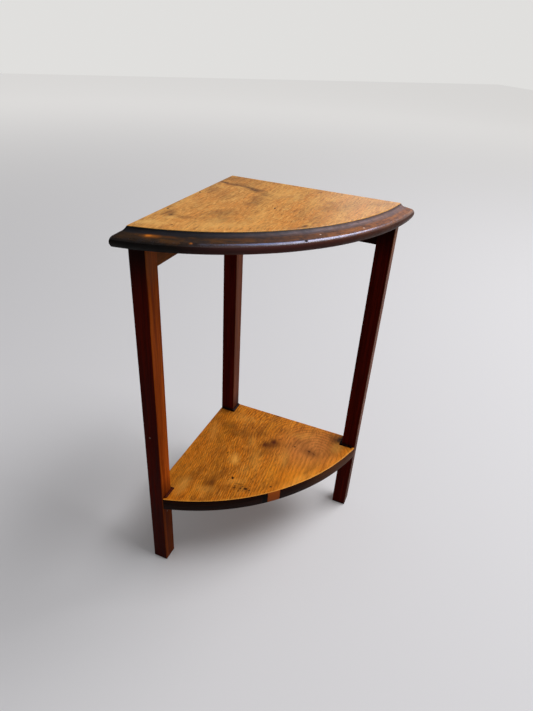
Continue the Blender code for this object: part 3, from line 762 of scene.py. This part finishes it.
# %% Grime, painted shade and a painted sheen on the moulding
# Both fade between two distances in front of the flat.
GROOVE, COVE = (0.6 * MM, 2.6 * MM), (5.5 * MM, 8.5 * MM)


def grime_shade_and_sheen_layers(tree, turn, reach, height, wear):
    """Returns the painted shade under the nose, the grime and painted sheen in the cove, and the painted shadow
    in the groove by the flat.
    """
    # The underside of the nose is painted darker as painted shade: near black at the left end, a darker
    # red-brown further right.
    under = add_node(tree, "MapRange.SMOOTHSTEP", height,
                     STAND_HEIGHT - 6 * MM, STAND_HEIGHT - 10 * MM, 0, 0.92)
    redness = add_node(tree, "MapRange", turn, -0.42, -0.15)
    shaded_stain_below = paint(tree, "58302c", (wear, "3c1c0e"))
    # The cove is hard to reach with a cloth, so it is dull and dark with grime; its blue-grey towards the right
    # is a painted sheen of the sky. The groove by the flat is painted black as its shadow, most of all at the
    # left.
    cove = add_node(tree, "MapRange.SMOOTHSTEP", reach, BOW_RADIUS + COVE[1], BOW_RADIUS + COVE[0])
    grime_shade_and_sheen_share = add_node(tree, "MapRange", turn, -0.2, -0.45, 0.6, 0.88)
    groove = add_node(tree, "MapRange.SMOOTHSTEP", reach, BOW_RADIUS + GROOVE[1], BOW_RADIUS + GROOVE[0])
    leftness = add_node(tree, "MapRange", turn, 0.25, -0.5, 0.35, 1)
    return [
        # Painted shade under the nose.
        (under, paint(tree, "040303", (redness, shaded_stain_below))),
        # Grime in the cove, with a painted blue-grey sheen towards the right.
        (joined(tree, "MULTIPLY", cove, grime_shade_and_sheen_share), paint(tree, "0e0f10", (wear, "6a5c58"))),
        # Painted shadow in the groove by the flat.
        (joined(tree, "MULTIPLY", groove, leftness), "060707"),
    ]


print("the painted shadow in the groove ends at, mm:", GROOVE[1] / MM, "and in the cove at:", COVE[1] / MM)


# %% The moulding finish
def moulding_stain(name, specular, smoothest, roughest, tint="ffffff"):
    """Returns the black-brown stain of the moulding, with more or less polish over it."""
    finish, tree, surface = start_finish(name, (smoothest + roughest) / 2, specular, tint)
    place = add_node(tree, "TexCoord").outputs["Object"]
    turn, reach, height, along = follow_bow(tree, place, BOW_CENTRE, BOW_RADIUS)
    bowed = wander(tree, add_node(tree, "CombineXYZ", along, reach, height), 40 * MM, 1.2 * MM)
    # The stain is nearly black at the left end and wears to a red-brown at the right.
    wear = add_node(tree, "MapRange.SMOOTHSTEP", turn, -0.35, 0.55)
    worn, streaks, age = wear_layers(tree, place, turn, bowed, wear)
    nicks = ovals(tree, place, MOULDING_NICKS, STAND_HEIGHT)
    chips = ovals(tree, place, MOULDING_CHIPS, STAND_HEIGHT)
    gloss = add_node(tree, "MapRange", age, 0, 1, smoothest, roughest)
    relief = add_node(tree, "Math.MULTIPLY_ADD", nicks, -12.0, streaks)
    fill(surface, {
        "Base Color": paint(tree, "180f05", (wear, "663717"), *worn,
                            *grime_shade_and_sheen_layers(tree, turn, reach, height, wear),
                            (nicks, "080404"), (chips, "e0bca4")),
        "Roughness": joined(tree, "MAXIMUM", gloss, nicks),
        "Normal": add_node(tree, "Bump", by_name={"Strength": 0.4, "Distance": 0.08 * MM, "Height": relief}),
    })
    return finish


nose_finish = moulding_stain("ebonised_moulding_polished_nose", 0.50, 0.20, 0.34)
slope_finish = moulding_stain("ebonised_moulding_worn_slope", 0.17, 0.42, 0.56, "ffecd6")
underside_finish = moulding_stain("ebonised_moulding_unpolished_underside", 0.10, 0.45, 0.60)
print("moulding finishes:", nose_finish.name, slope_finish.name, underside_finish.name)

# %% [markdown]
# ## Modelling with a drawn ring
#
# The moulding and the shelf's lipping are both one section that runs round a bow. Each is drawn here as
# a ring of points, spun round the bow's centre, as a scraper is drawn along the bow, and sawn off at its
# two ends. The helpers below are those steps, and each works in edit mode as a person at the mouse would.


# %% Helpers for modelling in edit mode
def begin_edit(piece):
    """Opens one piece in edit mode, with all of its corners selected."""
    bpy.ops.object.select_all(action="DESELECT")
    piece.select_set(True)
    bpy.context.view_layer.objects.active = piece
    bpy.ops.object.mode_set(mode="EDIT")
    bpy.ops.mesh.select_all(action="SELECT")


def end_edit():
    """Goes back to object mode."""
    bpy.ops.object.mode_set(mode="OBJECT")


def size_text(piece):
    """Returns a piece's size in millimetres, for the log."""
    return [round(side / MM, 1) for side in piece.dimensions]


print("the frame's own moulding, mm:", size_text(NODES["top_edge_moulding"]))


# %% Helpers for a section that runs round a bow
def spin_section(name, section, centre, radius, first_turn, whole_turn, steps):
    """Spins a closed section, given as (reach from the radius, height), round a bow's centre."""
    bpy.ops.mesh.primitive_circle_add(vertices=len(section), radius=10 * MM)
    piece = bpy.context.object
    piece.name = name
    start_turn = Matrix.Rotation(first_turn, 3, "Z")
    for corner, (reach, height) in zip(piece.data.vertices, section):
        corner.co = centre + start_turn @ Vector((radius + reach, 0, 0)) + height * UP
    begin_edit(piece)
    # The spin tool counts its angle clockwise, so the axis points down for a sweep from left to right.
    bpy.ops.mesh.spin(steps=steps, angle=whole_turn, center=centre, axis=(0, 0, -1))
    end_edit()
    return piece


def saw_off(piece, point, outward):
    """Cuts a piece off at a plane and closes the cut."""
    begin_edit(piece)
    bpy.ops.mesh.bisect(plane_co=point, plane_no=outward, use_fill=True, clear_outer=True)
    end_edit()


def turn_faces_outward(piece):
    """Points the faces of a closed piece outward."""
    begin_edit(piece)
    bpy.ops.mesh.normals_make_consistent(inside=False)
    end_edit()


def shade_smooth(piece, degrees):
    """Shades a piece smooth, apart from edges that are sharper than the angle."""
    bpy.ops.object.select_all(action="DESELECT")
    piece.select_set(True)
    bpy.ops.object.shade_smooth_by_angle(angle=math.radians(degrees))


print("helpers ready: spin, saw, turn faces, shade")

# %% [markdown]
# ## The moulding's section and its run
#
# A hand-planed moulding is smoother and less even than a row of flat facets. Its section has a quirk, a
# cove, a slope and a nose. After the spin, each section is stretched to the width it has at its place,
# because the strip is broader at the left, and the two ends are sawn off on a slant, so that they run
# on past the straight sides of the top.


# %% The section of the moulding
def moulding_section():
    """Returns the section at the middle of the bow as (reach from the joint, depth below the flat)."""
    quirk, fall, flat_steps, round_steps = 0.6 * MM, 12, 4, 22
    start, bend, cove = Vector((0, quirk)), Vector((2.3 * MM, 3.7 * MM)), Vector((6.5 * MM, 4.2 * MM))
    points = []
    for step in range(fall + 1):
        t = step / fall
        points.append(start * (1 - t) ** 2 + bend * (2 * t * (1 - t)) + cove * t**2)
    nose, nose_radius = Vector((14.2 * MM, 11.8 * MM)), 5.8 * MM
    slope_to = nose - cove
    upper = math.atan2(slope_to.y, slope_to.x) - math.asin(nose_radius / slope_to.length) - math.pi / 2
    tangent = nose + nose_radius * Vector((math.cos(upper), math.sin(upper)))
    points += [cove.lerp(tangent, step / flat_steps) for step in range(1, flat_steps)]
    under = math.radians(30)
    for step in range(round_steps + 1):
        a = upper + (under - upper) * step / round_steps
        points.append(nose + nose_radius * Vector((math.cos(a), math.sin(a))))
    # Below the nose the section leans back to the joint in two straight cuts.
    bottom = 17 * MM
    rest = bottom - points[-1].y
    lean = rest * math.tan(under)
    points.append(points[-1] + Vector((-lean * 0.8, rest * 0.8)))
    points.append(Vector((points[-1].x - lean * 0.35, bottom)))
    points.append(Vector((0, bottom)))
    return points


SECTION = moulding_section()
print("points in the section:", len(SECTION))

# %% The moulding: spun, stretched and sawn
REACHES = (21 * MM, 20 * MM, 17 * MM)
FLARE = math.radians(15)
SPARE_TURN = math.radians(8)
RIPPLE, RIPPLES, FIRST_RIPPLE = -0.08 * MM, 37, 1.3
MOULDING_STEPS = 170


def bow_turn(point):
    """Returns a point's turn round the centre of the bow."""
    return math.atan2(point.y - BOW_CENTRE.y, point.x - BOW_CENTRE.x)


FIRST_TURN, LAST_TURN = bow_turn(FLAT_LEFT_END), bow_turn(FLAT_RIGHT_END)
moulding = spin_section("bow_moulding", [(reach, STAND_HEIGHT - depth) for reach, depth in SECTION],
                        BOW_CENTRE, BOW_RADIUS, FIRST_TURN - SPARE_TURN,
                        LAST_TURN - FIRST_TURN + 2 * SPARE_TURN, MOULDING_STEPS)

# The three widths are joined by a parabola, and a slow ripple of a tenth of a millimetre is the hand's.
for corner in moulding.data.vertices:
    turn = bow_turn(corner.co)
    t = (turn - FIRST_TURN) / (LAST_TURN - FIRST_TURN)
    left, middle, right = REACHES
    wide = left * (1 - t) * (1 - 2 * t) + middle * 4 * t * (1 - t) + right * t * (2 * t - 1)
    reach = (corner.co - BOW_CENTRE).xy.length - BOW_RADIUS
    ripple = RIPPLE * (1 + math.sin(RIPPLES * t + FIRST_RIPPLE)) * (reach / middle)
    outward = Vector((math.cos(turn), math.sin(turn), 0))
    centre_above = Vector((BOW_CENTRE.x, BOW_CENTRE.y, corner.co.z))
    corner.co = centre_above + outward * (BOW_RADIUS + reach * wide / middle + ripple)

end_slant = math.radians(45) - FLARE
for point, way in ((FLAT_LEFT_END, -1), (FLAT_RIGHT_END, 1)):
    saw_off(moulding, point, Vector((way * math.sin(end_slant), math.cos(end_slant), 0)))
turn_faces_outward(moulding)
print("moulding, mm:", size_text(moulding), "faces:", len(moulding.data.polygons))

# %% The moulding's three degrees of polish
# Hands polish the nose, from where the slope begins to turn down, to 9 mm below the flat.
NOSE_STEEPNESS, NOSE_DEPTH, COVE_REACH = 0.92, 9 * MM, 8 * MM
for finish in (nose_finish, slope_finish, underside_finish):
    moulding.data.materials.append(finish)
for face in moulding.data.polygons:
    past_cove = (face.center - BOW_CENTRE).xy.length > BOW_RADIUS + COVE_REACH
    on_nose = past_cove and face.normal.z < NOSE_STEEPNESS
    face.material_index = 2 if face.center.z < STAND_HEIGHT - NOSE_DEPTH else 0 if on_nose else 1
shade_smooth(moulding, 35)
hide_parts("top_edge_moulding")
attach(moulding, "root")
print("faces on the nose:", sum(face.material_index == 0 for face in moulding.data.polygons))

# %% [markdown]
# ## The shelf's lipping
#
# A strip 2 mm thick covers the sawn front edge of the shelf. Its top was sanded flush with the board and
# shows the same honey wood, so the pattern of the shelf runs on over it. Its front was stained dark. One
# short patch of the stain is lost, and its near black neighbour may be an old drop of polish.

# %% The dark edge finish
EDGE_BARE = [(-2.5, -100.5, 6.6, 9.0, 0, 1.0, 0.2), (4.5, -100.3, 6.2, 9.0, 0, 1.0, 0.2)]
EDGE_SPOT = [(-12.6, -100.3, 4.6, 9.0, 0, 1.0, 0.4)]
edge_finish, tree, surface = start_finish("dark_stained_shelf_edge", 0.5, 0.05, "c89c88")
place = add_node(tree, "TexCoord").outputs["Object"]
turn, _, height, along = follow_bow(tree, place, SHELF_CENTRE, SHELF_RADIUS)
lines = patches(tree, add_node(tree, "CombineXYZ", along, height), 60 * MM, 1.3 * MM, 0.35, 0.65)
rightness = add_node(tree, "MapRange.SMOOTHSTEP", turn, 0.05, 0.45, 0, 0.75)
ragged = wander(tree, place, 4 * MM, 0.9 * MM)
fill(surface, {
    "Base Color": paint(
        tree, "100604", (lines, "2b140c"), (rightness, paint(tree, "4c2a1a", (lines, "784826"))),
        (ovals(tree, ragged, EDGE_BARE), "bc5e26"), (ovals(tree, ragged, EDGE_SPOT), "050303"),
    ),
    "Normal": add_node(tree, "Bump", by_name={"Strength": 0.5, "Distance": 0.1 * MM, "Height": lines}),
})
print("edge finish:", edge_finish.name)

# %% The lipping: a thin section spun round the shelf's bow
EDGE_ROUND, EDGE_CORNER = 0.5 * MM, 0.15 * MM
HEM = 0.9 * MM
LIP_STEPS, HALF_TURN = 120, math.radians(31)
inner_face = POST_SIDE + 0.3 * MM
drop = SHELF_UNDERSIDE - SHELF_TOP
lip_section = [
    (-LIP - HEM, 0), (-EDGE_ROUND, 0), (-EDGE_CORNER, -EDGE_CORNER), (0, -EDGE_ROUND),
    (0, drop + EDGE_ROUND), (-EDGE_CORNER, drop + EDGE_CORNER), (-EDGE_ROUND, drop), (-LIP, drop), (-LIP, -HEM),
]
lipping = spin_section("shelf_lipping", [(reach, SHELF_TOP + rise) for reach, rise in lip_section],
                       SHELF_CENTRE, SHELF_RADIUS, -math.pi / 2 - HALF_TURN, 2 * HALF_TURN, LIP_STEPS)
saw_off(lipping, from_corner(inner_face, LEFT_REACH), -ALONG_RIGHT)
saw_off(lipping, from_corner(RIGHT_REACH, inner_face), -ALONG_LEFT)
turn_faces_outward(lipping)
lipping.data.materials.append(edge_finish)
lipping.data.materials.append(shelf_finish)
for face in lipping.data.polygons:
    face.material_index = 1 if face.normal.z > 0.5 else 0
shade_smooth(lipping, 30)
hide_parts("shelf_edge_lipping")
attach(lipping, "root")
print("lipping, mm:", size_text(lipping), "faces:", len(lipping.data.polygons))

# %% [markdown]
# ## Old glue at the foot of the posts
#
# Where the shelf is notched round the posts, a bead of dark glue and polish has been left along the joint.
# Each bead is an L: a small bar is drawn out round the post's inner corner, its upper edge is rounded,
# and a slight unevenness is given to it, because a bead like this is pushed in with a finger. It dried
# hard and smooth, so it shines more than the wood beside it. The bead at the left post took up red stain.

# %% The bead finish
bead_finish, tree, surface = start_finish("dark_glue_and_polish", 0.4, 0.10, "c8a898")
place = add_node(tree, "TexCoord").outputs["Object"]
blotch = patches(tree, place, 5 * MM, 5 * MM, 0.35, 0.65)
leftness = add_node(tree, "MapRange", add_node(tree, "SeparateXYZ", place).outputs["X"], -100 * MM, -130 * MM)
redder = paint(tree, "280c06", (blotch, "561f0e"))
fill(surface, {
    "Base Color": paint(tree, "0e0605", (blotch, "24100a"), (leftness, redder)),
    "Roughness": add_node(tree, "MapRange", blotch, 0, 1, 0.25, 0.5),
    "Normal": add_node(tree, "Bump", by_name={"Strength": 0.4, "Distance": 0.2 * MM, "Height": blotch}),
})
print("bead finish:", bead_finish.name)

# %% A bead's bar, drawn out from its corner
BEAD_WIDTH, BEAD_HEIGHT = 3.6 * MM, 2.6 * MM


def bead_bar(name, right_way, left_way, arms):
    """Adds an L: a corner block just outside a post's corner, and two arms that run back along the post."""
    bpy.ops.object.select_all(action="DESELECT")
    bpy.ops.mesh.primitive_cube_add(size=1.0)
    bead = bpy.context.object
    bead.name = name
    low = Vector((min(0, right_way), min(0, left_way), 0)) * BEAD_WIDTH
    for corner in bead.data.vertices:
        share = corner.co + Vector((0.5, 0.5, 0.5))
        corner.co = low + Vector((share.x * BEAD_WIDTH, share.y * BEAD_WIDTH, share.z * BEAD_HEIGHT))
    for axis, way, arm in ((0, -right_way, arms[0]), (1, -left_way, arms[1])):
        begin_edit(bead)
        mesh = bmesh.from_edit_mesh(bead.data)
        bpy.ops.mesh.select_all(action="DESELECT")
        for face in mesh.faces:
            if face.normal[axis] * way > 0.9 and abs(face.calc_center_median()[1 - axis]) <= BEAD_WIDTH:
                face.select = max(abs(c.co[axis]) for c in face.verts) < BEAD_WIDTH / 2
        bmesh.update_edit_mesh(bead.data)
        push = Vector((0, 0, 0))
        push[axis] = way * arm
        bpy.ops.mesh.extrude_region_move(TRANSFORM_OT_translate={"value": push})
        end_edit()
    return bead


print("bead, mm wide and high:", BEAD_WIDTH / MM, BEAD_HEIGHT / MM)


# %% A bead's rounded upper edges
def round_outer_edges(bead, right_way, left_way):
    """Rounds the upper edges of the L that face away from the post."""
    begin_edit(bead)
    mesh = bmesh.from_edit_mesh(bead.data)
    bpy.ops.mesh.select_mode(type="EDGE")
    bpy.ops.mesh.select_all(action="DESELECT")
    for edge in mesh.edges:
        ends = [corner.co for corner in edge.verts]
        upper = all(c.z > BEAD_HEIGHT / 2 for c in ends)
        outer = (all(c.x * right_way > BEAD_WIDTH / 2 for c in ends)
                 or all(c.y * left_way > BEAD_WIDTH / 2 for c in ends))
        edge.select = upper and outer
    bmesh.update_edit_mesh(bead.data)
    bpy.ops.mesh.bevel(offset=BEAD_HEIGHT * 0.8, segments=4)
    bpy.ops.mesh.select_mode(type="VERT")
    end_edit()


print("width of the rounding, mm:", round(BEAD_HEIGHT * 0.8 / MM, 2))

# %% A bead round the inner corner of each post
SUNK = 0.1 * MM
LONG_ARM, SHORT_ARM = 19 * MM, 17 * MM
FINER_FACE, FINGER_MARK, UNEVENNESS = 0.35 * MM, 3 * MM, 0.7 * MM


def glue_bead(name, right, left, right_way, left_way, arms):
    """Makes the whole bead, in its place and uneven."""
    bead = bead_bar(name, right_way, left_way, arms)
    round_outer_edges(bead, right_way, left_way)
    turned = Matrix((ALONG_RIGHT, ALONG_LEFT, UP)).transposed().to_4x4()
    turned.translation = from_corner(right, left, SHELF_TOP - SUNK)
    bead.data.transform(turned)
    turn_faces_outward(bead)
    even = bead.modifiers.new("finer faces", "REMESH")
    even.mode = "VOXEL"
    even.voxel_size = FINER_FACE
    even.use_smooth_shade = True
    rough = bpy.data.textures.new(name + "_unevenness", "CLOUDS")
    rough.noise_scale = FINGER_MARK
    push = bead.modifiers.new("finger marks", "DISPLACE")
    push.texture = rough
    push.texture_coords = "GLOBAL"
    push.strength = UNEVENNESS
    push.mid_level = 0.55
    for modifier in (even.name, push.name):
        bpy.ops.object.modifier_apply(modifier=modifier)
    bead.data.materials.append(bead_finish)
    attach(bead, "root")
    print(name, "mm:", size_text(bead), "faces:", len(bead.data.polygons))


glue_bead("glue_bead_back", POST_SIDE, POST_SIDE, 1, 1, (LONG_ARM, LONG_ARM))
glue_bead("glue_bead_left", POST_SIDE, LEFT_REACH - POST_SIDE, 1, -1, (LONG_ARM, SHORT_ARM))
glue_bead("glue_bead_right", RIGHT_REACH - POST_SIDE, POST_SIDE, -1, 1, (SHORT_ARM, LONG_ARM))

# %% [markdown]
# ## The hidden dowels
#
# The dowels never show, but they are real pieces, turned from beech and left bare. They get a pale, dry
# wood with a fine grain, so that a stand taken apart still looks right.

# %% Dowel finish
dowel_finish, tree, surface = start_finish("bare_beech_dowel", 0.7, 0.3)
grain = patches(tree, add_node(tree, "TexCoord").outputs["Object"], 1.2 * MM, 1.2 * MM, 0.3, 0.7)
fill(surface, {
    "Base Color": paint(tree, "c9a274", (grain, "b78a5a")),
    "Normal": add_node(tree, "Bump", by_name={"Strength": 0.3, "Distance": 0.1 * MM, "Height": grain}),
})
print("dowel finish:", dowel_finish.name)

# %% [markdown]
# ## Dressing the frame's own pieces
#
# The boards, posts, rails and dowels already have their true shapes, so they only change their material.
# The moulding and the lipping of the frame are left out here, since the new pieces stand in for them.

# %% The frame's pieces get their finishes
FINISHES = {
    "top_board": top_finish, "shelf_board": shelf_finish,
    "post_left": left_post_finish, "post_right": right_post_finish, "post_back": back_post_finish,
    "rail_left": left_rail_finish, "rail_right": right_rail_finish,
}
FINISHES |= {name: dowel_finish for name in NODES if "dowel" in name}
for name, finish in FINISHES.items():
    if NODES[name].type == "MESH":
        for slot in NODES[name].material_slots:
            slot.material = finish
print("frame pieces with a finish:", len(FINISHES))
